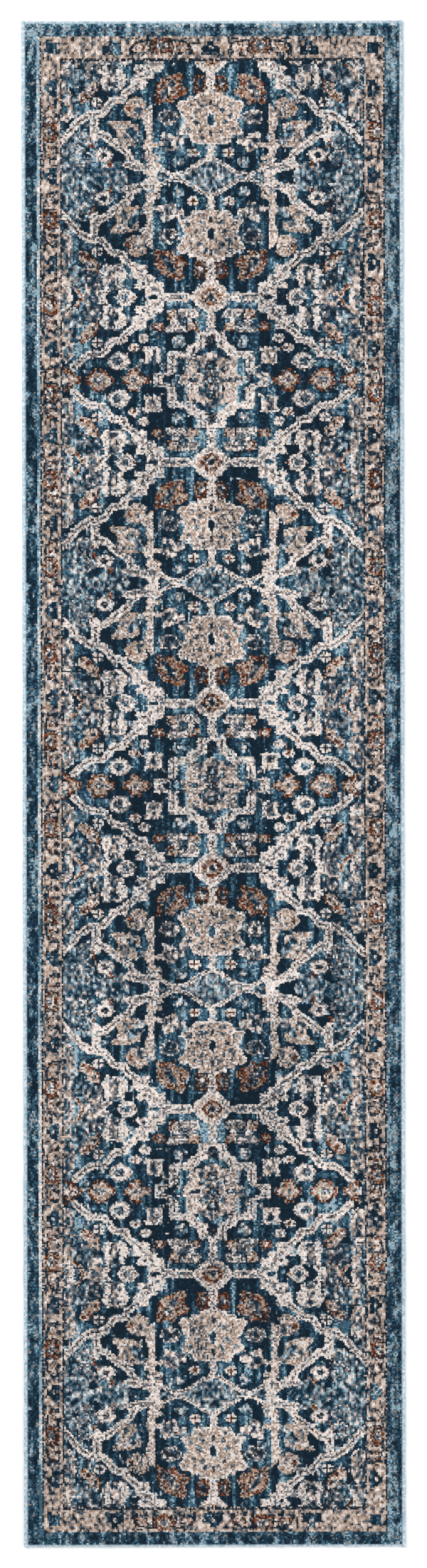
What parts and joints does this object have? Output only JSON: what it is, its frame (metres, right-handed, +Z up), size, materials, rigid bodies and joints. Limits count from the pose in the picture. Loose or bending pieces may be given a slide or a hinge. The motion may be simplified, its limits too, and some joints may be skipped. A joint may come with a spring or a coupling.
{
  "type": "runner rug",
  "caption": "Long narrow woven runner rug with a cut pile in a geometric lattice-and-star design, a banded border and serged edges.",
  "frame": {"origin": "middle of the underside, on the floor", "axes": "+X across the rug, +Y along its length towards the far end, +Z up through the pile"},
  "size_m": [0.61, 2.438, 0.01],
  "materials": {
    "edge_cord": "twisted cotton cord",
    "latex": "matt dried latex sizing",
    "jute": "spun jute yarn",
    "cream_pile": "cut polypropylene pile, cream",
    "rust_pile": "cut polypropylene pile, rust",
    "navy_pile": "cut polypropylene pile, streaked navy",
    "dark_pile": "cut polypropylene pile, blue-black",
    "grey_pile": "cut polypropylene pile, mid grey",
    "tan_pile": "cut polypropylene pile, warm tan",
    "pale_blue_pile": "cut polypropylene pile, pale blue",
    "serging_yarn": "overcast polyester yarn, pale blue",
    "polyester_warp": "flat spun polyester warp"
  },
  "bodies": {
    "root": {"edge_cord_far_end": "edge_cord", "edge_cord_left": "edge_cord", "edge_cord_near_end": "edge_cord", "edge_cord_right": "edge_cord", "latex_back_coating": "latex", "lower_wefts": "jute", "pile_arrow_links": "cream_pile", "pile_axis_palmettes": "rust_pile", "pile_border_crowns": "navy_pile", "pile_border_leaves": "dark_pile", "pile_border_ring_hearts": "grey_pile", "pile_border_rings": "rust_pile", "pile_botehs": "rust_pile", "pile_bottom_arms": "grey_pile", "pile_chevrons": "cream_pile", "pile_dark_guard_lines": "dark_pile", "pile_diagonal_leaves": "rust_pile", "pile_diamond_rings": "rust_pile", "pile_diamonds": "tan_pile", "pile_grey_flowers": "grey_pile", "pile_heart_palmettes": "tan_pile", "pile_hook_leaves": "tan_pile", "pile_inner_guard": "dark_pile", "pile_large_flowers": "cream_pile", "pile_leaf_palmettes": "tan_pile", "pile_navy_field": "navy_pile", "pile_navy_surround": "navy_pile", "pile_pale_guard_lines": "pale_blue_pile", "pile_ring_diamonds": "grey_pile", "pile_rosettes": "tan_pile", "pile_side_leaves": "cream_pile", "pile_star_fills": "tan_pile", "pile_star_frames": "cream_pile", "pile_stems": "cream_pile", "pile_tan_border": "tan_pile", "pile_trunks": "tan_pile", "pile_vine_branches": "cream_pile", "pile_vines": "cream_pile", "pile_white_flowers": "cream_pile", "serging_far_end": "serging_yarn", "serging_left": "serging_yarn", "serging_near_end": "serging_yarn", "serging_right": "serging_yarn", "serging_yarn_ends": "serging_yarn", "stuffer_warps": "polyester_warp", "upper_wefts": "jute"}
  },
  "joints": []
}
